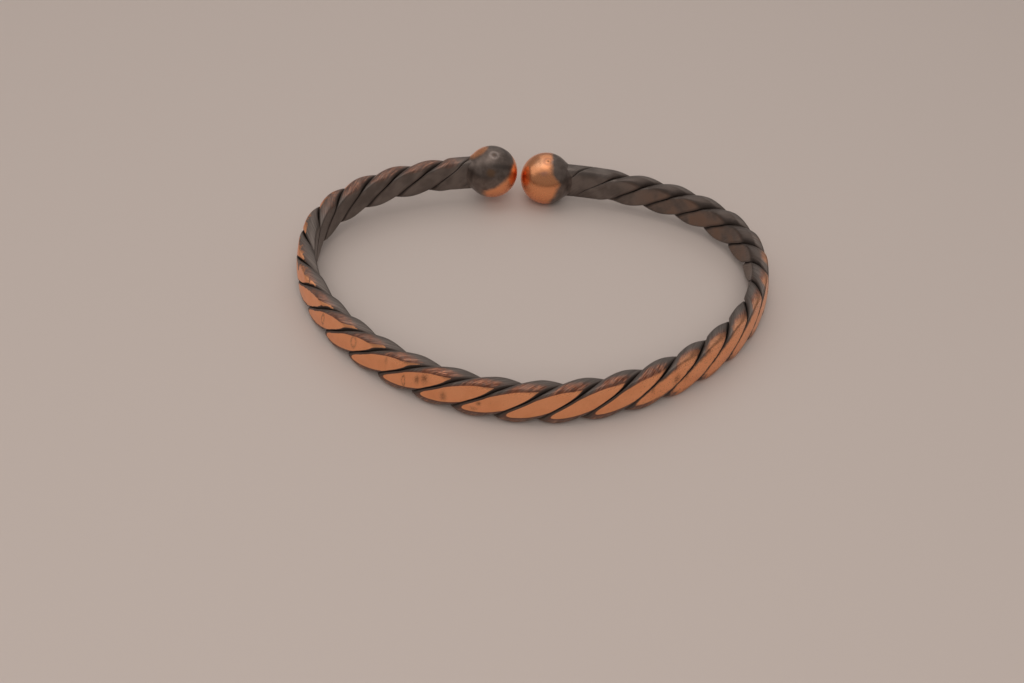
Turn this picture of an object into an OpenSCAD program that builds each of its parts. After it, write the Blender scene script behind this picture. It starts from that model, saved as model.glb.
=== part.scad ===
// Twisted copper cuff: three strands twisted to a flat rope, bent to an open oval,
// with a solid ball on each end. It lies on its lower edge with the gap at the back (+Y).
// Distances along the rope are measured from the middle of the front, positive to the right.

/* [Oval] */
// Half width of the oval that the middle of the rope follows
half_width = 31.6; // [28:0.1:38]
// Half depth of the same oval, from front to gap
half_depth = 26.2; // [23:0.1:32]
// Second wave of the width: negative carries the widest place towards the gap
width_wave_2 = -1.9; // [-2.5:0.1:2.5]
// Third wave of the width: negative flattens the two sides
width_wave_3 = -0.6; // [-1:0.1:1]
// Second wave of the depth: positive flattens the back
depth_wave_2 = 0.9; // [-2:0.1:2]
// Third wave of the depth: negative flattens front and back together
depth_wave_3 = -0.5; // [-1:0.1:1]

/* [Rope] */
// Length along the rope in which a strand makes one full turn
twist_pitch = 16.75; // [14:0.05:22]
// Share by which the twist is tighter towards the right ball
tighter = 0.05; // [0:0.01:0.1]
// Place along the rope where the tighter twist starts
tighter_from = 42; // [30:1:60]
// Place along the rope where a groove crosses the top edge at the front
groove_at = 2.3; // [-3:0.1:3]
// Thickness of the rope between its two rolled faces, at the front
rope_thick = 2.9; // [2.5:0.1:3.6]
// Height of the rope over its strands, at the front
rope_high = 5.8; // [5:0.1:6.6]
// Distance of a strand's middle from the rope's middle, through the thickness
strand_offset = 0.85; // [0.7:0.05:1]
// How far rolling has spread the strands in height, against the thickness
spread = 1.27; // [1.1:0.01:1.4]
// Half width of a strand's round back before it was rolled flat
strand_round = 1.55; // [1.4:0.05:1.8]
// Sharpness of a strand's edges, from soft to square
edge_power = 9; // [6:1:14]
// Clearance in the seam between two strands
seam = 0.12; // [0.1:0.01:0.2]
// Share of its height that the rope loses towards its ends
taper_high = 0.1; // [0:0.01:0.15]
// Share of its thickness that the rope loses towards its ends
taper_thick = 0.1; // [0:0.01:0.15]

/* [Balls] */
// Diameter of both balls
ball_d = 8; // [7.6:0.1:8.4]
// Place of the left ball's centre along the rope, to the left of the front
left_run = 84.6; // [80:0.1:85.2]
// Place of the right ball's centre along the rope, to the right of the front
right_run = 89.9; // [85:0.1:90.5]
// Height of the left ball's centre: that end of the cuff is sprung a little upwards
left_high = 5; // [4.2:0.1:5.6]
// Distance from a ball's centre to the strands' ends in its socket
seat = 2.5; // [2.2:0.1:2.8]
// Clearance between the strands' ends and the socket
socket_gap = 0.18; // [0.15:0.01:0.25]
// Distance behind the front of the oval's middle at which the rope starts to rise
rise_from = -12; // [-16:0.5:-6]

/* [Mesh] */
// Rings along a strand in one turn of the twist
rings_per_turn = 20; // [12:1:20]
// Points round a strand
around = 12; // [12:2:14]

/* [Hidden] */
STRANDS = 3;

COPPER = [0.72, 0.41, 0.27];
BRIGHT_COPPER = [0.85, 0.45, 0.27];
BALL_FN = 64;

ball_r = ball_d / 2;
strand_round_high = rope_high / 2 - strand_offset * spread;
rise_power = 1.5;

// The oval: a point and its direction at angle t, which is 0 at the front and 180 at the back
function oval(t) = [
    half_width * sin(t) + width_wave_2 * sin(2 * t) + width_wave_3 * sin(3 * t),
    -half_depth * cos(t) - depth_wave_2 * cos(2 * t) - depth_wave_3 * cos(3 * t)
];
function oval_slope(t) = [
    half_width * cos(t) + 2 * width_wave_2 * cos(2 * t) + 3 * width_wave_3 * cos(3 * t),
    half_depth * sin(t) + 2 * depth_wave_2 * sin(2 * t) + 3 * depth_wave_3 * sin(3 * t)
];
function unit(v) = v / norm(v);

// A table from distance along the rope to the oval's angle
angle_reach = 190;
angle_step = 1;
angle_count = 2 * angle_reach / angle_step;
function angle_at(i) = -angle_reach + i * angle_step;
function step_length(i) = norm(oval(angle_at(i + 1)) - oval(angle_at(i)));
lengths = [for (i = 0, run = 0; i <= angle_count; run = run + step_length(i), i = i + 1) run];
front_run = lengths[angle_count / 2];
run_table = [for (i = [0:angle_count]) [lengths[i] - front_run, angle_at(i)]];
function oval_angle(s) = lookup(s, run_table);

// The rope's middle: it lies flat at the front and rises to the balls at the back
back_y = oval(180)[1];
function rise(y) = pow(max(0, (y - rise_from) / (back_y - rise_from)), rise_power);
function end_high(s) = s < 0 ? left_high : ball_r;
function middle_high(s) = let (y = oval(oval_angle(s))[1])
    rope_high / 2 + (end_high(s) - rope_high / 2) * rise(y);
function middle(s) = let (p = oval(oval_angle(s))) [p[0], p[1], middle_high(s)];
function outward(s) = let (d = unit(oval_slope(oval_angle(s)))) [d[1], -d[0], 0];

// The rope's section is drawn as [outwards, up] from its middle
function twisted_length(s) = s - groove_at + tighter * max(0, s - tighter_from);
function strand_angle(strand, s) =
    90 + 360 * twisted_length(s) / twist_pitch + 360 * (strand + 0.5) / STRANDS;
function strand_middle(q) = strand_offset * [cos(q), spread * sin(q)];
function parting(q, side) =
    let (b = q + side * 180 / STRANDS)
    side * unit([-spread * sin(b), cos(b)]);
function share(u, limit) = pow(max(0, u / limit), edge_power);

// Reach of a strand from its middle in direction u: the round back, the two rolled faces and
// the two seams each set a limit, and the power blends them into one soft outline
function strand_reach(q, u) =
    let (m = strand_middle(q), left_n = parting(q, 1), right_n = parting(q, -1))
    pow(
        pow(norm([u[0] / strand_round, u[1] / strand_round_high]), edge_power)
        + share(u[0], rope_thick / 2 - m[0])
        + share(-u[0], rope_thick / 2 + m[0])
        + share(u * left_n, -m * left_n - seam / 2)
        + share(u * right_n, -m * right_n - seam / 2),
        -1 / edge_power
    );
function strand_section(q) = [
    for (j = [0:around - 1])
        let (a = q + j * 360 / around, u = [cos(a), spread * sin(a)])
        strand_middle(q) + strand_reach(q, u) * u
];

// Rings of a strand from the left ball's socket to the right one's
first_s = seat - left_run;
last_s = right_run - seat;
ring_count = ceil((last_s - first_s) / twist_pitch * rings_per_turn);
function ring_place(i) = first_s + (last_s - first_s) * i / ring_count;
function taper(s) = (1 - cos(180 * abs(s) * 2 / (left_run + right_run))) / 2;
function strand_ring(strand, s) =
    let (
        centre = middle(s),
        out = outward(s),
        thin = 1 - taper_thick * taper(s),
        low = 1 - taper_high * taper(s)
    )
    [for (p = strand_section(strand_angle(strand, s)))
        centre + out * p[0] * thin + [0, 0, p[1] * low]];
function strand_points(strand) = [
    for (i = [0:ring_count], p = strand_ring(strand, ring_place(i))) p
];
rope_points = [for (k = [0:STRANDS - 1]) strand_points(k)];

// The part's origin: the bottom centre of the box round the whole cuff
all_points = [for (k = [0:STRANDS - 1], p = rope_points[k]) p];
left_ball = middle(-left_run);
right_ball = middle(right_run);
x_low = min([for (p = all_points) p[0]]);
x_high = max([for (p = all_points) p[0]]);
y_low = min([for (p = all_points) p[1]]);
y_high = max(left_ball[1], right_ball[1]) + ball_r;
z_low = min([for (p = all_points) p[2]]);
origin = [(x_low + x_high) / 2, (y_low + y_high) / 2, min(z_low, 0)];

// The round back is cut along the shorter diagonals. The two seam faces are cut along mirrored
// ones, so that a strand and its neighbour match
function strand_faces() = [
    for (i = [0:ring_count - 1], j = [0:around - 1])
        let (
            n = (j + 1) % around,
            a = i * around + j,
            b = i * around + n,
            c = (i + 1) * around + n,
            d = (i + 1) * around + j
        )
        each (j >= around / 4 && j < around / 2
            ? [[a, b, c], [a, c, d]]
            : [[a, b, d], [b, c, d]])
];
function end_faces() = [
    [for (j = [around - 1:-1:0]) j],
    [for (j = [0:around - 1]) ring_count * around + j]
];

module strand(number) {
    color(COPPER)
        translate(-origin)
            polyhedron(
                points = rope_points[number - 1],
                faces = concat(strand_faces(), end_faces()),
                convexity = 6
            );
}

// Oblong pocket for the rope's end: it opens along +X, and its floor is at x = 0
module socket() {
    half_high = rope_high / 2 * (1 - taper_high) + socket_gap;
    half_thick = rope_thick / 2 * (1 - taper_thick) + socket_gap;
    rotate([90, 0, 90])
        linear_extrude(height = ball_d) {
            square([2 * half_thick, 2 * (half_high - half_thick)], center = true);
            for (side = [-1, 1])
                translate([0, side * (half_high - half_thick)])
                    circle(r = half_thick, $fn = BALL_FN);
        }
}

// A ball at place s along the rope, with its socket towards the rope
module ball(s) {
    towards = s < 0 ? 1 : -1;
    end_s = s + towards * seat;
    heading = towards * unit(oval_slope(oval_angle(end_s)));
    turn = atan2(heading[1], heading[0]);
    color(BRIGHT_COPPER)
        translate(-origin)
            difference() {
                translate(middle(s))
                    rotate([0, 0, turn + 180])
                        sphere(r = ball_r, $fn = BALL_FN);
                translate(middle(end_s))
                    rotate([0, 0, turn])
                        translate([-socket_gap, 0, 0])
                            socket();
            }
}

strand(1);  // strand_1
strand(2);  // strand_2
strand(3);  // strand_3
ball(-left_run);  // ball_left
ball(right_run);  // ball_right
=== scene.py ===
import math

import bmesh
import bpy
import numpy as np
from mathutils import Matrix, Vector


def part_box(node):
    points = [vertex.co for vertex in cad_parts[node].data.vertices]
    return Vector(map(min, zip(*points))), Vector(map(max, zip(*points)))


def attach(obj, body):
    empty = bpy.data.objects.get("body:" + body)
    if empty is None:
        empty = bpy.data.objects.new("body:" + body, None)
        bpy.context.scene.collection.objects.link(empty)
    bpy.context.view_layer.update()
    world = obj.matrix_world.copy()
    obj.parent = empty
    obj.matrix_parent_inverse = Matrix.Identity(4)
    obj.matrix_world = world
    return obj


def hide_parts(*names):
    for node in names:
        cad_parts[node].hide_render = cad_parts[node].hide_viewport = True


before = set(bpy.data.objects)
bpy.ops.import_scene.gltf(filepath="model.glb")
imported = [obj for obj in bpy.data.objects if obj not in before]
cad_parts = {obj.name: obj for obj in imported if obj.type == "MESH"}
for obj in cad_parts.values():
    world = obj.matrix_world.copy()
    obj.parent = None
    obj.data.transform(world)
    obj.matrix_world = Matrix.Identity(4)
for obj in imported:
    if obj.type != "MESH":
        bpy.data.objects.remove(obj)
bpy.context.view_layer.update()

MM = 0.001

# Sizes are in millimetres. A place along the rope (run) counts from the middle of the front,
# positive to the right, and a place in its section (out, up) counts from the rope's middle

# The oval that the rope's middle follows, as in the part's source
WIDTH_WAVES = (31.6, -1.9, -0.6)
DEPTH_WAVES = (26.2, 0.9, -0.5)

# The rope, as in the part's source
STRANDS = 3
TWIST_PITCH = 16.75
GROOVE_AT = 2.3
TIGHTER = 0.05
TIGHTER_FROM = 42
ROPE_THICK = 2.9
ROPE_HIGH = 5.8
STRAND_OFFSET = 0.85
SPREAD = 1.27
TAPER = 0.1
RISE_FROM = -12
RISE_POWER = 1.5
LEFT_RUN = 84.6
RIGHT_RUN = 89.9
SEAT = 2.5
SEAM = 0.12

# The finer shape of a strand, which the solids leave plain: how far it stays inside them, the
# half sizes of its round back, the sharpness of shoulders and faces, the outer face's lean
SKIN = 0.008
BACK_OUT = 1.75
BACK_HIGH = 1.76
SHOULDER_POWER = 6
FACE_POWER = 18
FACE_LEAN = 0.185

# The grooves at the front drift along the rope: how far, round which place, over what length
GROOVE_DRIFT = 0.3
GROOVE_DRIFT_AT = 1
GROOVE_DRIFT_OVER = 6

# Drift of a section along the rope and its slant outwards: front, left back and right back.
# The front's goes over to the back's on the stretch BACK_FROM, to either side
FRONT_DRIFT = (0.48, 0.33)
LEFT_DRIFT = (-0.89, 0.33)
RIGHT_DRIFT = (-0.47, 0.04)
BACK_FROM = (38, 56)

# The neck: the grooves close on these stretches, counted from a ball's centre. There the
# shoulders get sharper, the seams shut, and all but their very edge swells out to a smooth bar
LEFT_FILL = (5.5, 10)
RIGHT_FILL = (8, 11.5)
FILL_SHARPENS = 24
FILL_SHUTS_SEAM = 0.85
FILL_DEPTH = (0, 0.12)
JOINED_HALF = (1.4, 2.78)
JOINED_POWER = 4
JOINED_LEAST = 0.5

# The fillet: its reach beside the rope and above and below it, how far under the bar's surface
# it goes on, and where it starts in front of the ball's centre
FILLET_SIDE = 0.9
FILLET_EDGE = 0.35
FILLET_UNDER = 0.2
FILLET_LEAST = 0.01
FILLET_FRONT = (0, 1.5)


def ball_place(node, gap_side):
    """Centre and radius of a ball in millimetres. Its socket cuts the side away from the gap."""
    low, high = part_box(node)
    radius = (high.z - low.z) / 2
    x = high.x - radius if gap_side > 0 else low.x + radius
    return np.array((x, (low.y + high.y) / 2, (low.z + high.z) / 2)) / MM, radius / MM


BALL_LEFT, BALL_R = ball_place("ball_left", 1)
BALL_RIGHT, _ = ball_place("ball_right", -1)


def smooth(value, low, high):
    """0 below low, 1 above high, and a soft rise between them."""
    t = np.clip((value - low) / (high - low), 0, 1)
    return t * t * (3 - 2 * t)


def change(value, amount, low, high):
    """0 below low, the full amount above high."""
    return amount * smooth(value, low, high)


def between(value, start, end):
    """1 between the start and the end, 0 beyond them. Each of the two is a stretch itself."""
    return smooth(value, *start) * (1 - smooth(value, *end))


def bell(value, middle, wide):
    """1 at the middle, and about a third as far from it as wide says."""
    return np.exp(-(((value - middle) / wide) ** 2))


# The rope's route

def oval(t):
    """Points of the oval at angles t, 0 at the front, in the oval's own place."""
    x = sum(size * np.sin(k * t) for k, size in enumerate(WIDTH_WAVES, 1))
    y = -sum(size * np.cos(k * t) for k, size in enumerate(DEPTH_WAVES, 1))
    return np.stack((x, y), -1)


def oval_heading(t):
    """Unit directions along the oval at angles t."""
    x = sum(k * size * np.cos(k * t) for k, size in enumerate(WIDTH_WAVES, 1))
    y = sum(k * size * np.sin(k * t) for k, size in enumerate(DEPTH_WAVES, 1))
    way = np.stack((x, y), -1)
    return way / np.linalg.norm(way, axis=-1, keepdims=True)


# A table from distance along the rope to the oval's angle
TABLE_REACH = math.radians(190)
TABLE_POINTS = 3801
TABLE_ANGLES = np.linspace(-TABLE_REACH, TABLE_REACH, TABLE_POINTS)
TABLE_STEPS = np.linalg.norm(np.diff(oval(TABLE_ANGLES), axis=0), axis=1)
TABLE_RUNS = np.concatenate(((0,), np.cumsum(TABLE_STEPS)))
TABLE_RUNS -= np.interp(0, TABLE_ANGLES, TABLE_RUNS)


def angle_at(run):
    """The oval's angle at a distance along the rope."""
    return np.interp(run, TABLE_RUNS, TABLE_ANGLES)


# The frame puts the oval's own place under the balls
OVAL_SHIFT = BALL_LEFT[:2] - oval(angle_at(np.array((-LEFT_RUN,))))[0]
BACK_Y = oval(np.array((math.pi,)))[0, 1]


def rope_middle(run):
    """The rope's middle in the frame's place: flat at the front, rising to the balls."""
    flat = oval(angle_at(run))
    rise = np.clip((flat[..., 1] - RISE_FROM) / (BACK_Y - RISE_FROM), 0, None) ** RISE_POWER
    end_high = np.where(run < 0, BALL_LEFT[2], BALL_RIGHT[2])
    high = ROPE_HIGH / 2 + (end_high - ROPE_HIGH / 2) * rise
    return np.concatenate((flat + OVAL_SHIFT, high[..., None]), -1)


def outward(run):
    """Level unit directions away from the middle of the oval."""
    way = oval_heading(angle_at(run))
    return np.stack((way[..., 1], -way[..., 0], np.zeros_like(run)), -1)


def taper(run):
    """How much of its size the section keeps."""
    return 1 - TAPER * (1 - np.cos(2 * np.pi * run / (LEFT_RUN + RIGHT_RUN))) / 2


# A strand's section, as outwards and up from the rope's middle

def strand_angle(strand, run):
    """Where the strand stands round the rope. The hand-made twist drifts a little at the front."""
    drift = GROOVE_DRIFT * np.tanh((GROOVE_DRIFT_AT - run) / GROOVE_DRIFT_OVER)
    twisted = run - GROOVE_AT - drift + TIGHTER * np.clip(run - TIGHTER_FROM, 0, None)
    return 2 * np.pi * (twisted / TWIST_PITCH + (strand + 0.5) / STRANDS + 0.25)


def drift_at(run, out):
    """How far the hand-made twist carries a point of the section along the rope."""
    drifts = (FRONT_DRIFT, LEFT_DRIFT, RIGHT_DRIFT)
    front, left, right = [drift - slant * out for drift, slant in drifts]
    return front + (np.where(run < 0, left, right) - front) * smooth(np.abs(run), *BACK_FROM)


def filled(run):
    """1 where the grooves are closed near a ball, 0 on the open rope."""
    left = smooth(run + LEFT_RUN, *LEFT_FILL)
    return 1 - left * smooth(RIGHT_RUN - run, *RIGHT_FILL)


def faces():
    """The rolled faces as outward part, upward part and distance: outer, inner, leaning outer."""
    lean = math.hypot(1, FACE_LEAN)
    far = ROPE_THICK / 2 - SKIN
    return (1, 0, far), (-1, 0, far), (1 / lean, FACE_LEAN / lean, far / lean)


def share(along, limit):
    """How much of the way to a limit a point goes."""
    return np.clip(along / limit, 0, None)


def seams_of(q, mid, fill):
    """Directions to a strand's two seams and their distances from its middle: below, above."""
    half = SEAM / 2 * (1 - FILL_SHUTS_SEAM * fill)
    seams = []
    for side in (-1, 1):
        b = q + side * np.pi / STRANDS
        normal = side * np.stack((-SPREAD * np.sin(b), np.cos(b)), -1)
        normal /= np.linalg.norm(normal, axis=-1, keepdims=True)
        seams.append((normal, -(mid * normal).sum(-1) - half))
    return seams


def strand_section(q, a, fill):
    """Section points at angles a round a strand that stands at angle q round the rope.

    Fill is 0 on the open rope and 1 where the grooves close near a ball. The seam that
    faces back along the rope has a round shoulder and the other one a sharp shoulder.
    Returns the outward and upward places, how deep each rolled face cuts the round strand,
    and the distances from the seams on the two sides.
    """
    mid = STRAND_OFFSET * np.stack((np.cos(q), SPREAD * np.sin(q)), -1)
    way = np.stack((np.cos(q + a), SPREAD * np.sin(q + a)), -1)
    seams = seams_of(q, mid, fill)
    to_round, round_limit = seams[1]
    power = SHOULDER_POWER + FILL_SHARPENS * fill
    total = np.hypot(way[..., 0] / BACK_OUT, way[..., 1] / BACK_HIGH) ** power
    total += share((way * to_round).sum(-1), round_limit) ** power
    reach = total ** (-1 / power)
    plain = mid + way * reach[..., None]

    total = reach ** -FACE_POWER
    for normal, limit in seams:
        total += share((way * normal).sum(-1), limit) ** FACE_POWER
    cuts = []
    for out_part, up_part, far in faces():
        normal = np.array((out_part, up_part))
        total += share(way @ normal, far - mid @ normal) ** FACE_POWER
        cuts.append(plain @ normal - far)
    offset = way * (total ** (-1 / FACE_POWER))[..., None]
    point = mid + offset
    below, above = [limit - (offset * normal).sum(-1) for normal, limit in seams]
    return point[..., 0], point[..., 1], cuts, below, above


def close_grooves(out, up, fill, gap):
    """Near a ball the strands run together to one smooth bar."""
    half_out, half_up = JOINED_HALF
    total = (np.abs(out) / half_out) ** JOINED_POWER + (np.abs(up) / half_up) ** JOINED_POWER
    level = np.maximum(total ** (1 / JOINED_POWER), JOINED_LEAST)
    grow = 1 + fill * smooth(gap, *FILL_DEPTH) * (1 / level - 1)
    return out * grow, up * grow


# Wear. A margin is a distance inside a bright patch, negative outside it. A pair of numbers is
# a stretch over which something sets in or ends. Three are an amount and its stretch

# Margins count up to EDGE_REACH. A slack one grows more slowly, so noise moves its edge further
EDGE_REACH = 3
SLACK = 0.7
MORE_SLACK = 0.5


def soft_min(*values, blend=0.1):
    """The least of some margins, with their corners rounded."""
    return -blend * np.log(sum(np.exp(-np.clip(v, -EDGE_REACH, EDGE_REACH) / blend) for v in values))


# A facet keeps clear of the grooves above and below it. It has a low end, half a height on its
# strand, and a horn that carries it on along the groove to a point
FACET_ABOVE = 0.56
FACET_BELOW = 0.13
FACET_LOW = -1.62
FACET_HALF = 1.15
FACET_OVER = 0.1
FACET_CORNERS = 0.06
FACET_CUT = 1.5
FACETS_WIDER_RIGHT = (0.3, 10, 20)
FACETS_WIDER_UNDER = (0.12, 0, 1.2)
FACETS_LOWER_LEFT = (0.45, 16, 30)
HORN = 1.8
HORN_LONGER_LEFT = (0.8, 8, 22)
TIP_ROUND = 0.45
TIP_LONGER = 0.16


def facet_margin(run, q, up, cuts, below, above):
    """The rolled outer facets: rounded at the low end, pointed along the groove at the high end."""
    horn = HORN * np.clip(-np.cos(q), 0, None) ** 2 * (np.sin(q) > 0)
    horn *= 1 + change(-run, *HORN_LONGER_LEFT)
    cut = np.maximum(cuts[0], cuts[2]) * FACET_CUT + horn
    high = up - STRAND_OFFSET * SPREAD * np.sin(q)
    shoulder = above - FACET_ABOVE + change(run, *FACETS_WIDER_RIGHT)
    shoulder += change(-up, *FACETS_WIDER_UNDER)
    low = FACET_LOW - change(-run, *FACETS_LOWER_LEFT)
    tip = soft_min(shoulder, up - low, high + FACET_HALF, blend=TIP_ROUND) + TIP_LONGER
    top = FACET_HALF + FACET_OVER + horn - high
    return soft_min(cut, tip, top, below - FACET_BELOW, blend=FACET_CORNERS)


# Where the humps are bright: from how far out, and how far from the grooves below and above
OUTER_SIDE = 0.1
HUMP_BELOW = 0.15
HUMP_ABOVE = 1.0
HUMPS_START = (6, 24)
HUMPS_END = (50, 60)
HUMPS_OFF = 2
HUMPS_NARROWER_RIGHT = (0.25, 26, 36)


def hump_margin(run, out, below, above):
    """The humps at the right, where the patina is worn off beyond the facets."""
    margin = soft_min((out - OUTER_SIDE) * SLACK, below - HUMP_BELOW, (above - HUMP_ABOVE) * SLACK)
    margin -= (1 - between(run, HUMPS_START, HUMPS_END)) * HUMPS_OFF
    return margin - change(run, *HUMPS_NARROWER_RIGHT)


# Height and half height of the patches, and how far they keep from the groove above
PATCH_AT = 1.6
PATCH_HALF = 0.6
PATCH_ABOVE = 1.1
PATCH_SMALLER = 0.05
PATCHES_START = (32, 40)
PATCHES_END = (66, 76)


def patch_margin(run, out, up, above):
    """Patches on the humps at the far left."""
    height = PATCH_HALF - np.abs(up - PATCH_AT) * MORE_SLACK
    margin = soft_min(height, (above - PATCH_ABOVE) * MORE_SLACK, (out - OUTER_SIDE) * SLACK)
    margin -= PATCH_SMALLER
    return margin - (1 - smooth(-run, *PATCHES_START)) - smooth(-run, *PATCHES_END)


# At the left nothing above the ceiling is bright but the patches
CEILING = 2.9
CEILING_DROP = 1.9
CEILING_OFF = 1.5
CEILING_LEFT = (30, 42)
FACETS_NARROWER_LEFT = (0.3, 43, 50)
BRIGHT_ENDS_RIGHT = (1.2, 58, 68)
BRIGHT_ENDS_LEFT = (1.2, 60, 72)


def bright_margin(run, out, up, facet, below, above):
    """Bright copper: the facets, more of the humps at the right, patches at the far left."""
    margin = np.maximum(facet, hump_margin(run, out, below, above))
    left = smooth(-run, *CEILING_LEFT)
    ceiling = (CEILING - CEILING_DROP * left - up) * MORE_SLACK + (1 - left) * CEILING_OFF
    margin = np.minimum(margin, ceiling) - change(-run, *FACETS_NARROWER_LEFT)
    margin = np.maximum(margin, patch_margin(run, out, up, above))
    margin = np.where(out > 0, margin, -1)
    return margin - change(run, *BRIGHT_ENDS_RIGHT) - change(-run, *BRIGHT_ENDS_LEFT)


RAGGED_FRONT = 0.03
RAGGED_RIGHT = (0.3, 10, 22)
RAGGED_LEFT = (0.15, 26, 36)


def ragged(run):
    """How far the noise moves the edge of the bright copper."""
    return RAGGED_FRONT + change(run, *RAGGED_RIGHT) + change(-run, *RAGGED_LEFT)


# The gloss sets in clear of the grooves, outwards, upwards and below the groove above. Its top
# part is at the left back. A rim of painted reflection in the same red-brown runs under the outer
# face at the front
RUBBED_CLEAR = (0.15, 0.6)
RUBBED_OUT = (-0.5, 0.3)
RUBBED_UP = (1.3, 1.9)
RUBBED_ABOVE = (0.8, 1.5)
RUBBED_LESS_LEFT = (0.35, 14, 24)
RUBBED_ENDS_LEFT = (0.65, 34, 50)
RUBBED_ENDS_RIGHT = (40, 56)
TOP_RUBBED = (0.6, 1.9, 2.5)
TOP_START = (50, 60)
TOP_END = (76, 82)
RIM_REFLECTION = (0.6, 1.6, 2.1)
RIM_OUT = (0.2, 0.9)
RIM_ENDS = (36, 48)


def rub_and_rim_reflection(run, out, up, gap, above):
    """Red-brown gloss on the humps: their outer half at the front, their top at the left back. Also
    a painted reflection, a red-brown rim under the outer face at the front.
    """
    front = smooth(out, *RUBBED_OUT) * smooth(up, *RUBBED_UP) * smooth(above, *RUBBED_ABOVE)
    front *= 1 - change(-run, *RUBBED_LESS_LEFT) - change(-run, *RUBBED_ENDS_LEFT)
    front *= 1 - smooth(run, *RUBBED_ENDS_RIGHT)
    back = change(up, *TOP_RUBBED) * between(-run, TOP_START, TOP_END)
    # Painted reflection: a red-brown rim along the underside of the outer face at the front
    painted_rim_reflection = change(-up, *RIM_REFLECTION) * smooth(out, *RIM_OUT) * (1 - smooth(np.abs(run), *RIM_ENDS))
    return (front + back) * smooth(gap, *RUBBED_CLEAR) + painted_rim_reflection


# The painted shade of the groove above darkens more of a strand than the one below, most in the
# notches at the back
GROOVE_ABOVE = 0.6
NOTCH_DARKER = 0.5
NOTCH_UP = (1.3, 2)
NOTCHES_START = (42, 50)
NECK_CLEAR = 0.4


def groove_margin(run, out, up, below, above, fill):
    """Distance from the grooves, which carry painted shade. It is darker at the top of the inner
    right back.
    """
    notch = smooth(up, *NOTCH_UP) * (out < 0) * smooth(run, *NOTCHES_START)
    return np.minimum(below, above * (GROOVE_ABOVE - NOTCH_DARKER * notch)) + fill * NECK_CLEAR


# Marks on the outer facets: place along the rope, height, half sizes, depth of tone, ring or not
MARKS = (
    (-31.7, 0.4, 0.30, 0.75, 0.8, True),
    (-24.8, 1.1, 0.45, 0.80, 0.6, True),
    (-19.0, 1.4, 0.20, 0.60, 0.5, False),
    (-16.1, -0.4, 0.22, 0.75, 0.8, True),
    (-14.2, 0.7, 0.30, 0.60, 0.9, False),
    (-13.2, 1.3, 0.45, 0.70, 0.9, False),
    (-10.5, -0.4, 0.40, 0.65, 0.8, False),
    (-6.0, -0.1, 0.28, 0.28, 1.0, False),
    (-6.6, -1.1, 0.50, 0.30, 0.5, False),
    (15.7, 0.2, 0.25, 0.30, 0.9, False),
    (19.4, 0.5, 0.45, 0.50, 1.0, False),
    (21.0, 0.1, 0.25, 0.35, 0.7, False),
    (24.8, 2.2, 0.40, 0.40, 0.9, False),
)
MARK_LINE = 0.28


def stains(run, out, up):
    """Depth of tone of the marks, from 0 to 1."""
    tone = np.zeros_like(run)
    for along, high, half_run, half_high, depth, ring in MARKS:
        far = np.hypot((run - along) / half_run, (up - high) / half_high)
        spot = bell(far, 1, MARK_LINE) if ring else bell(far, 0, 1)
        tone = np.maximum(tone, depth * spot)
    return np.where(out > 0, tone, 0)


# Meshes: points along a strand and round it, and how far those are drawn to its round back

RINGS = 1150
ROUND = 76
BACK_CROWDING = 0.5
SAME_POINT = 1e-7
INNER_FACET = 0.3
STRAND_FIELDS = ("out", "run", "bright", "ragged", "rub_and_rim_reflection", "gap", "stain", "facet")


def new_piece(name, bm):
    """A smooth mesh object at the origin from a finished bmesh."""
    mesh = bpy.data.meshes.new(name)
    bm.to_mesh(mesh)
    bm.free()
    mesh.shade_smooth()
    piece = bpy.data.objects.new(name, mesh)
    bpy.context.scene.collection.objects.link(piece)
    return piece


def add_fields(bm, names):
    """Room on each vertex for numbers with these names."""
    for name in names:
        bm.verts.layers.float.new(name)


def set_fields(bm, names, columns):
    """Numbers on the vertices for the materials to read."""
    for name, column in zip(names, columns):
        layer = bm.verts.layers.float[name]
        for vert, value in zip(bm.verts, column.tolist()):
            vert[layer] = value


def put(bm, places):
    """Moves the vertices to places in millimetres."""
    for vert, place in zip(bm.verts, (places * MM).tolist()):
        vert.co = place


def make_strand(strand):
    """One strand of the rope: a grid rolled into a tube and carried along the rope."""
    bm = bmesh.new()
    bmesh.ops.create_grid(bm, x_segments=RINGS, y_segments=ROUND, size=0.5)
    add_fields(bm, STRAND_FIELDS)
    uv = bm.loops.layers.uv.new("along")
    flat = np.array([v.co[:] for v in bm.verts]) + 0.5

    first, last = SEAT - LEFT_RUN, RIGHT_RUN - SEAT
    run = first + (last - first) * flat[:, 0]
    turn = 2 * np.pi * (flat[:, 1] - 0.5)
    a = turn - BACK_CROWDING * np.sin(turn)
    q = strand_angle(strand, run)
    fill = filled(run)
    out, up, cuts, below, above = strand_section(q, a, fill)
    gap = np.minimum(below, above)
    joined_out, joined_up = close_grooves(out, up, fill, gap)
    at = run + drift_at(run, out) * (1 - fill)
    size = taper(at)
    places = rope_middle(at) + outward(at) * (joined_out * size)[:, None]
    places[:, 2] += joined_up * size

    facet = facet_margin(run, q, up, cuts, below, above)
    fields = (
        out,
        run,
        bright_margin(run, out, up, facet, below, above),
        ragged(run),
        rub_and_rim_reflection(run, out, up, gap, above),
        groove_margin(run, out, up, below, above, fill),
        stains(run, out, up),
        np.where(out > 0, facet, np.minimum(cuts[1], INNER_FACET)),
    )
    set_fields(bm, STRAND_FIELDS, fields)
    for face in bm.faces:
        for loop in face.loops:
            loop[uv].uv = loop.vert.co.x + 0.5, loop.vert.co.y + 0.5
    put(bm, places)
    bmesh.ops.remove_doubles(bm, verts=bm.verts, dist=SAME_POINT)
    rims = [e for e in bm.edges if e.is_boundary]
    bmesh.ops.holes_fill(bm, edges=rims, sides=0)
    bmesh.ops.recalc_face_normals(bm, faces=bm.faces)
    return new_piece(f"copper_strand_{strand + 1}", bm)


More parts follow.
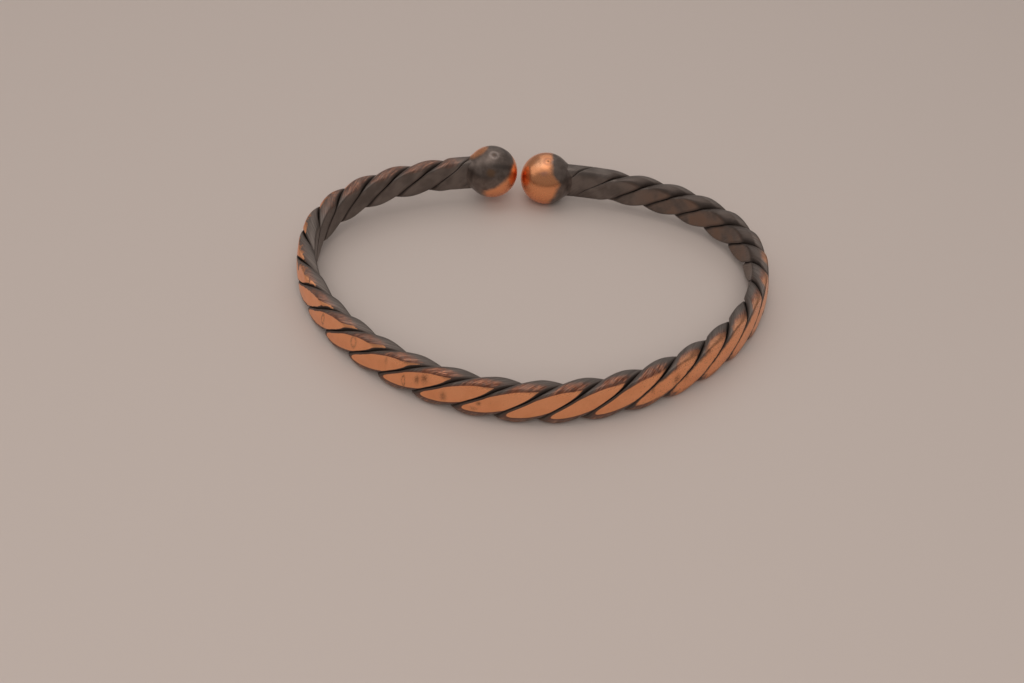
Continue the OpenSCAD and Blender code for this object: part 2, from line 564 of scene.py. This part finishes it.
# Balls. Their wear and their painted highlights and reflections stand where the camera sees them, in
# radii to the right, up and toward it

CAMERA_TILT = math.radians(39.0)
TILT_SIN = math.sin(CAMERA_TILT)
TILT_COS = math.cos(CAMERA_TILT)


def facing(right, up):
    """Direction from a ball's centre to the point that the camera sees there."""
    toward = math.sqrt(max(0, 1 - right * right - up * up))
    level = up * TILT_SIN - toward * TILT_COS
    return np.array((right, level, up * TILT_COS + toward * TILT_SIN))


def seen(ways):
    """How far right, up and toward it the camera sees each direction from a ball's centre."""
    level, high = ways[:, 1], ways[:, 2]
    return ways[:, 0], level * TILT_SIN + high * TILT_COS, high * TILT_SIN - level * TILT_COS


def distance(ways, right, up):
    """Distance in radii over the ball from the point that is seen at right, up."""
    return np.arccos(np.clip(ways @ facing(right, up), -1, 1))


# The crescent's direction as right, up and toward, its reach, and the slope and shift of its end
CRESCENT = (0.455, -0.455, -0.765)
CRESCENT_REACH = 0.1
CRESCENT_END = (0.6, 0.12)
LEFT_PATCH_AT = (-0.56, 0.72)
LEFT_PATCH_REACH = 0.38


def left_wear(ways):
    """Bright crescent towards the gap and a small patch above the rope."""
    crescent = sum(part * way for part, way in zip(CRESCENT, seen(ways))) + CRESCENT_REACH
    crescent = np.minimum(crescent, CRESCENT_END[0] * ways[:, 0] + CRESCENT_END[1])
    return np.maximum(crescent, LEFT_PATCH_REACH - distance(ways, *LEFT_PATCH_AT))


# The copper is bright up to this place to the right. The edge has a step, given by how far it
# goes, its height and its width, and two bends below the middle
PATINA_EDGE = 0.19
EDGE_STEP = 0.33
EDGE_STEP_UP = (-0.34, 0.24)
EDGE_BEND = (0.12, 0.45, 0.65)
EDGE_LOWER_BEND = (0.12, 0.75, 0.95)


def right_wear(ways):
    """Bright on the side of the gap. The patina's edge steps back round the middle."""
    right, up, _ = seen(ways)
    step = EDGE_STEP * bell(up, *EDGE_STEP_UP) + change(-up, *EDGE_BEND)
    return PATINA_EDGE + step - change(-up, *EDGE_LOWER_BEND) - right


# The spot's place and width, and the strength, height and width of the band, a painted dark
# reflection, and the stretch over which it sets in to the right
SPOT_AT = (0, -0.18)
SPOT_WIDE = 0.2
REFLECTION_BAND = 0.9
BAND_UP = (0.08, 0.12)
BAND_RIGHT = (-0.3, 0.2)


def left_tint(ways):
    """A warm brown spot on the dark ball, below a band of painted dark reflection."""
    right, up, _ = seen(ways)
    reflection_band = bell(up, *BAND_UP) * smooth(right, *BAND_RIGHT)
    return bell(distance(ways, *SPOT_AT), 0, SPOT_WIDE) - REFLECTION_BAND * reflection_band


# The middle and width, sideways and upwards, of a painted dark brown reflection, and the strength
# and width of the pale place, a painted highlight
DARK_REFLECTION_RIGHT = (-0.08, 0.25)
DARK_REFLECTION_UP = (0.03, 0.12)
HIGHLIGHT_PALE = 0.6
PALE_AT = (-0.3, 0.5)
PALE_WIDE = 0.3


def right_tint(ways):
    """A painted dark brown reflection below the ring, and a paler place beside it, a painted
    highlight.
    """
    right, up, _ = seen(ways)
    dark_reflection = bell(right, *DARK_REFLECTION_RIGHT) * bell(up, *DARK_REFLECTION_UP)
    return dark_reflection - HIGHLIGHT_PALE * bell(distance(ways, *PALE_AT), 0, PALE_WIDE)


BALL_FIELDS = ("bright", "ring", "tint")
# The ring round a small spot, pressed into the ball and painted pale as a highlight: radius and
# width of the line, depth and width of the spot
RING_REACH = 0.15
RING_WIDE = 0.07
RING_SPOT = 0.8
RING_SPOT_WIDE = 0.08


def solder(centre, run, places):
    """Carries the ball's surface out to the rope's end, so that a hollow curve joins them."""
    back = -1 if run > 0 else 1
    at = np.array((run,))
    outer = outward(at)[0]
    along = np.array((-outer[1], outer[0], 0)) * back
    offset = places - centre
    half_out, half_up = np.array(JOINED_HALF) * (1 - TAPER)
    past_out = np.abs(offset @ outer)
    past_up = np.clip(np.abs(offset[:, 2]) - (half_up - half_out), 0, None)
    past = np.hypot(past_out, past_up)
    sideways = past_out / np.maximum(past, FILLET_LEAST)
    fillet = FILLET_EDGE + (FILLET_SIDE - FILLET_EDGE) * sideways**2
    clear = np.maximum(past - half_out, -FILLET_UNDER)
    rise = np.clip(fillet - clear, 0, None) ** 2 / (2 * fillet)
    return places + along * (rise * smooth(offset @ along, *FILLET_FRONT))[:, None]


def make_ball(name, centre, run, wear, tint, ring_at):
    """A ball with its fillet to the rope, its wear, and a ring where the camera sees it, pressed in
    and painted with a highlight.
    """
    bm = bmesh.new()
    bmesh.ops.create_icosphere(bm, subdivisions=7, radius=1)
    add_fields(bm, BALL_FIELDS)
    ways = np.array([v.co.normalized()[:] for v in bm.verts])
    far = distance(ways, *ring_at)
    ring = bell(far, RING_REACH, RING_WIDE) - RING_SPOT * bell(far, 0, RING_SPOT_WIDE)
    set_fields(bm, BALL_FIELDS, (wear(ways) * BALL_R, ring, tint(ways)))
    put(bm, solder(centre, run, centre + ways * (BALL_R - SKIN)))
    return new_piece(name, bm)


# Half width of the floor, in metres
FLOOR_HALF = 1.5


def make_floor():
    bm = bmesh.new()
    bmesh.ops.create_grid(bm, x_segments=1, y_segments=1, size=FLOOR_HALF)
    return new_piece("floor", bm)


# Shader values

class Field:
    """A shader socket. Sums and products of it add Math nodes."""

    def __init__(self, tree, socket=None):
        self.tree = tree
        self.socket = socket

    def node(self, kind, settings=None, values=None, output=0):
        """Any node: its settings are set first, then its sockets get numbers or links."""
        made = self.tree.nodes.new("ShaderNode" + kind)
        for name, value in (settings or {}).items():
            setattr(made, name, value)
        for key, value in (values or {}).items():
            if isinstance(value, Field):
                self.tree.links.new(value.socket, made.inputs[key])
            else:
                made.inputs[key].default_value = value
        return Field(self.tree, made.outputs[output])

    def math(self, operation, *values):
        return self.node("Math", {"operation": operation}, dict(enumerate(values)))

    def __add__(self, other):
        return self.math("ADD", self, other)

    __radd__ = __add__

    def __mul__(self, other):
        return self.math("MULTIPLY", self, other)

    __rmul__ = __mul__

    def __sub__(self, other):
        return self.math("SUBTRACT", self, other)

    def __rsub__(self, other):
        return self.math("SUBTRACT", other, self)

    def step(self, low, high):
        """0 below low, 1 above high, smooth between them."""
        values = {"Value": self, "From Min": low, "From Max": high}
        return self.node("MapRange", {"interpolation_type": "SMOOTHSTEP"}, values)

    def attribute(self, name):
        return self.node("Attribute", {"attribute_name": name}, {}, "Fac")

    def place(self):
        """Object coordinates in millimetres."""
        values = {"Vector": self.node("TexCoord", {}, {}, "Object"), "Scale": (1 / MM,) * 3}
        return self.node("Mapping", {}, values)

    def along(self, scale):
        """The strand's own map: its length, then the way round."""
        values = {"Vector": self.node("UVMap", {"uv_map": "along"}), "Scale": (*scale, 1)}
        return self.node("Mapping", {}, values)

    def noise(self, where, size, detail=2, rough=0.5):
        """Noise from 0 to 1 with features of about size in the units of where."""
        values = {"Vector": where, "Scale": 1 / size, "Detail": detail, "Roughness": rough}
        return self.node("TexNoise", {}, values)

    def blend(self, first, second):
        """Colour from first to second as this value goes from 0 to 1."""
        return self.node("Mix", {"data_type": "RGBA"}, {0: self, 6: first, 7: second}, 2)

    def bump(self):
        """The normal of a surface with this height in millimetres."""
        values = {"Strength": 1, "Distance": MM, "Height": self}
        return self.node("Bump", {}, values, "Normal")


def rgb(red, green, blue):
    return (red, green, blue, 1)


def new_material(name):
    """A material, a first field on its nodes and its shader."""
    material = bpy.data.materials.new(name)
    material.use_nodes = True
    return material, Field(material.node_tree), material.node_tree.nodes["Principled BSDF"]


def feed(shader, **sockets):
    """Numbers or links for the shader's own sockets."""
    for name, value in sockets.items():
        socket = shader.inputs[name.replace("_", " ")]
        if isinstance(value, Field):
            value.tree.links.new(value.socket, socket)
        else:
            socket.default_value = value


COPPER = rgb(1.0, 0.46, 0.235)
COPPER_DEEP = rgb(0.88, 0.37, 0.175)
COPPER_PALE = rgb(0.97, 0.52, 0.31)
BALL_COPPER = rgb(0.90, 0.385, 0.185)
RED_BROWN = rgb(0.70, 0.32, 0.20)
RED_DARK = rgb(0.20, 0.072, 0.042)
WORN = rgb(0.50, 0.235, 0.14)
PATINA = rgb(0.125, 0.102, 0.09)
PATINA_GREY = rgb(0.26, 0.216, 0.192)
PATINA_WARM = rgb(0.23, 0.142, 0.10)
SPOT_BROWN = rgb(0.20, 0.112, 0.062)
BALL_SHADE = rgb(0.07, 0.056, 0.05)
RING_HIGHLIGHT_GREY = rgb(0.40, 0.33, 0.30)
RING_HIGHLIGHT_PINK = rgb(0.60, 0.27, 0.17)
BALL_DARK = rgb(0.13, 0.10, 0.086)
BALL_GREY = rgb(0.21, 0.166, 0.144)
RECESS_SHADE = rgb(0.085, 0.06, 0.05)
GROOVE_SHADE = rgb(0.042, 0.030, 0.025)
STAIN_BROWN = rgb(0.10, 0.05, 0.035)
PIT_BROWN = rgb(0.2, 0.09, 0.05)
RING_SPOT_BROWN = rgb(0.12, 0.07, 0.05)
FLOOR_PALE = rgb(0.63, 0.545, 0.50)

# Noise as size in millimetres, detail and roughness: broad, middling and fine
STRAND_GRAINS = ((2.2, 2, 0.5), (0.7, 3, 0.6), (0.16, 3, 0.65))
BALL_GRAINS = ((2.2, 2, 0.5), (0.8, 3, 0.6), (0.2, 3, 0.6))

# Streaks and dents that follow a strand: how many along it and round it, detail and roughness
STREAKS = ((45, 60), 3, 0.6)
DENTS = ((120, 26), 2, 0.6)

# Where the looks change along the rope: the bright edge softens, pits come, the copper pales,
# the inner facets are warm, and the streaks fade towards both ends
SOFT_EDGE_RIGHT = (5, 15)
PITS_RIGHT = (6, 18)
PALE_RIGHT = (25, 50)
WARM_START = (40, 55)
WARM_END = (70, 80)
PLAIN_ENDS = (48, 64)


def patina_colour(field, run, far, rub_and_reflection, noises):
    """Dark patina: greyer on the humps, warmer on the inner facets, red-brown where rubbed and along
    the painted rim reflection. Painted shade darkens the crease above the facets and the places near
    the grooves.
    """
    broad, fine, streaks, dents = noises
    out, facet, gap = [field.attribute(name) for name in ("out", "facet", "gap")]
    warmth = broad.step(0.3, 0.7) * facet.step(0, 0.1) * (0 - out).step(0.5, 1.2)
    warmth = warmth * run.step(*WARM_START) * (1 - run.step(*WARM_END)) * 0.8
    lined = streaks.step(0.35, 0.7) * (1 - far * 0.75) + broad.step(0.35, 0.65) * far * 0.45
    # Painted shade: a dark red-brown line in the crease above the outer facets
    crease_shade = facet.step(-0.35, -0.05) * out.step(0.3, 0.8) * (1 - far)
    # Painted shade: the patina darkens towards the grooves, further from the groove above
    recess_shade = 1 - (gap + (fine - 0.5) * 0.1).step(0.1, 0.42)
    colour = lined.blend(PATINA, PATINA_GREY)
    colour = warmth.blend(colour, PATINA_WARM)
    # The rubbed humps are red-brown. The lighter red-brown streaks along the dents are painted
    # highlights
    colour = rub_and_reflection.blend(colour, dents.step(0.4, 0.68).blend(RED_DARK, RED_BROWN))
    colour = (crease_shade * 0.6).blend(colour, RED_DARK)
    return (recess_shade * 0.7).blend(colour, RECESS_SHADE)


def copper_colour(run, worn, broad, fine):
    """Bright copper: deeper in places, paler at the right, brown where it is worn thin."""
    deep = broad.step(0.4, 0.7) * 0.4 + fine.step(0.4, 0.65) * 0.25
    colour = deep.blend(COPPER, COPPER_DEEP)
    colour = (run.step(*PALE_RIGHT) * 0.8).blend(colour, COPPER_PALE)
    return (worn * 0.8).blend(colour, WORN)


def strand_material():
    """Copper that is bright on the rolled facets and dark with patina elsewhere."""
    material, field, shader = new_material("strand_copper")
    place = field.place()
    broad, middling, fine = [field.noise(place, *grain) for grain in STRAND_GRAINS]
    streaks, dents = [field.noise(field.along(grid), 1, *kind) for grid, *kind in (STREAKS, DENTS)]
    run = field.attribute("run")
    far = run.math("ABSOLUTE", run).step(*PLAIN_ENDS)

    loose = field.attribute("ragged")
    edge = (middling - 0.5) * 1.4 + (fine - 0.5) * 0.9
    margin = field.attribute("bright") + edge * loose * 2
    soft = 0.025 + loose * run.step(*SOFT_EDGE_RIGHT) * 0.9
    bright = margin.math("DIVIDE", margin, soft).step(-1, 1)

    # The red-brown of the rubbed humps and of the painted rim reflection, mottled
    rub_and_reflection = field.attribute("rub_and_rim_reflection") * (0.55 + middling.step(0.4, 0.6) * 0.45)
    worn = (1 - field.attribute("facet").step(-0.35, 0)) * (0.4 + middling.step(0.4, 0.6) * 0.6)
    stain = field.attribute("stain") * fine.step(0.3, 0.55)
    pits = (fine + run.step(*PITS_RIGHT) * 0.08).step(0.66, 0.76) * bright
    # Painted shade right at the grooves: near-black colour, and the surface there is rougher and
    # less metallic
    groove_shade = 1 - (field.attribute("gap") + (middling - 0.5) * 0.1).step(0.01, 0.12)

    patina = patina_colour(field, run, far, rub_and_reflection, (broad, fine, streaks, dents))
    colour = bright.blend(patina, copper_colour(run, worn, broad, fine))
    colour = (stain * 0.8).blend(colour, STAIN_BROWN)
    colour = (pits * 0.7).blend(colour, PIT_BROWN)
    colour = groove_shade.blend(colour, GROOVE_SHADE)

    rough = 0.46 - bright * 0.06 - rub_and_reflection * 0.2 + (middling - 0.5) * 0.15 + groove_shade * 0.35
    rough = rough + worn * bright * 0.14
    metal = 0.75 + bright * 0.25 - groove_shade * 0.6
    height = broad * 0.012 + middling * 0.008 + fine * 0.003 + dents * rub_and_reflection * 0.09
    height = height + streaks * 0.02 * (1 - bright) * (1 - far * 0.7) - bright * 0.01
    feed(shader, Base_Color=colour, Roughness=rough, Metallic=metal, Normal=height.bump())
    return material


def ball_material():
    """Copper with patina that is worn off on one side, a ring with a painted highlight, a brown
    spot, and painted reflections: a dark band, a dark brown band and a pale place.
    """
    material, field, shader = new_material("ball_copper")
    place = field.place()
    broad, middling, fine = [field.noise(place, *grain) for grain in BALL_GRAINS]
    ring, tint = field.attribute("ring"), field.attribute("tint")
    edge = (broad - 0.5) * 0.8 + (middling - 0.5) * 0.9 + (fine - 0.5) * 0.3
    bright = (field.attribute("bright") + edge * 0.6).step(-0.45, 0.45)
    # Brown where the tint is above zero: a spot on the left ball, and a painted dark brown
    # reflection on the right one
    brown = tint.step(0.1, 0.9)

    cloudy = middling.step(0.35, 0.65) * 0.6 + broad.step(0.4, 0.6) * 0.4
    patina = cloudy.blend(BALL_DARK, BALL_GREY)
    patina = (brown * 0.8).blend(patina, SPOT_BROWN)
    # Where the tint is below zero the patina gets painted dark reflection: the band across the left
    # ball
    patina = ((0 - tint).step(0, 0.9) * 0.7).blend(patina, BALL_SHADE)
    copper = (brown * (0.4 + middling.step(0.4, 0.6) * 0.6)).blend(BALL_COPPER, RED_BROWN)
    # Where the tint is below zero the copper pales. On the right ball this is the pale place, a
    # painted highlight
    copper = ((0 - tint).step(0.1, 0.6) * 0.6).blend(copper, COPPER_PALE)
    colour = bright.blend(patina, copper)
    # Painted highlight: a pale ring, grey on the patina and pink on the copper, round a brown middle
    painted_ring_highlight = ring.step(0, 1) * (0.5 + fine.step(0.35, 0.65) * 0.5)
    colour = (painted_ring_highlight * 0.7).blend(colour, bright.blend(RING_HIGHLIGHT_GREY, RING_HIGHLIGHT_PINK))
    colour = ((0 - ring).step(0.1, 0.8) * 0.6).blend(colour, RING_SPOT_BROWN)

    rough = 0.32 - bright * 0.04 + painted_ring_highlight * 0.1 + (middling - 0.5) * 0.12
    metal = 0.8 + bright * 0.2
    height = broad * 0.02 + middling * 0.01 + fine * 0.0025 - ring * 0.015
    feed(shader, Base_Color=colour, Roughness=rough, Metallic=metal, Normal=height.bump())
    return material


def floor_material():
    material, _, shader = new_material("floor")
    feed(shader, Base_Color=FLOOR_PALE, Roughness=0.6)
    return material


# Camera, from the photo's viewing angle. LOOK_AT is on the floor, counted as the oval is

PICTURE_WIDTH = 1024
FOCAL_PIXELS = 1227.8
SENSOR = 36
CAMERA_ROLL = math.radians(2.83)
CAMERA_REACH = 166.9
CAMERA_NEAR = 5
LOOK_AT = (-2.45, -11.3)


def set_camera():
    target = Vector((*(OVAL_SHIFT + LOOK_AT), 0)) * MM
    back = Vector((0, -TILT_COS, TILT_SIN))
    data = bpy.data.cameras.new("camera")
    data.sensor_width = SENSOR
    data.lens = FOCAL_PIXELS / PICTURE_WIDTH * SENSOR
    data.clip_start = CAMERA_NEAR * MM
    camera = bpy.data.objects.new("camera", data)
    bpy.context.scene.collection.objects.link(camera)
    turn = Matrix.Rotation(math.pi / 2 - CAMERA_TILT, 4, "X") @ Matrix.Rotation(CAMERA_ROLL, 4, "Z")
    camera.matrix_world = Matrix.Translation(target + back * CAMERA_REACH * MM) @ turn
    bpy.context.scene.camera = camera


# Softboxes in metres and watts: name, place, size, power, colour, whether the copper mirrors it
WARM = (1, 0.95, 0.91)
LESS_WARM = (1, 0.96, 0.93)
SOFTBOXES = (
    ("top_light", (0, 0.04, 0.45), 0.7, 0.35, WARM, True),
    ("top_lamp", (-0.06, 0.02, 0.5), 0.3, 0.22, WARM, True),
    ("back_light", (0.05, 0.45, 0.40), 0.5, 0.3, WARM, True),
    ("left_light", (-0.45, 0.02, 0.40), 0.45, 0.32, LESS_WARM, True),
    ("front_light", (0, -0.44, 0.42), 0.4, 1.2, WARM, False),
)
SKY = rgb(1, 0.94, 0.90)
SKY_STRENGTH = 0.26


def add_softbox(name, place, size, power, colour, mirrored):
    """A square light that faces the cuff."""
    data = bpy.data.lights.new(name, "AREA")
    data.size = size
    data.energy = power
    data.color = colour
    light = bpy.data.objects.new(name, data)
    light.visible_glossy = mirrored
    bpy.context.scene.collection.objects.link(light)
    light.location = place
    light.rotation_euler = (-Vector(place)).to_track_quat("-Z", "Y").to_euler()


def set_light():
    world = bpy.data.worlds.new("studio")
    bpy.context.scene.world = world
    world.use_nodes = True
    sky = world.node_tree.nodes["Background"]
    sky.inputs["Color"].default_value = SKY
    sky.inputs["Strength"].default_value = SKY_STRENGTH
    for softbox in SOFTBOXES:
        add_softbox(*softbox)
    bpy.context.scene.view_settings.view_transform = "Standard"


# The cuff

strand_copper = strand_material()
ball_copper = ball_material()

for index in range(STRANDS):
    strand_piece = make_strand(index)
    strand_piece.data.materials.append(strand_copper)
    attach(strand_piece, "root")
    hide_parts(f"strand_{index + 1}")

# The balls: node, centre, place along the rope, wear, tint, and where the ring with its painted
# highlight is seen
BALLS = (
    ("ball_left", BALL_LEFT, -LEFT_RUN, left_wear, left_tint, (0.08, 0.53)),
    ("ball_right", BALL_RIGHT, RIGHT_RUN, right_wear, right_tint, (0.03, 0.55)),
)
for ball_name, *ball_form in BALLS:
    ball_piece = make_ball(f"copper_{ball_name}", *ball_form)
    ball_piece.data.materials.append(ball_copper)
    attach(ball_piece, "root")
    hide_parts(ball_name)

floor = make_floor()
floor.data.materials.append(floor_material())
set_camera()
set_light()
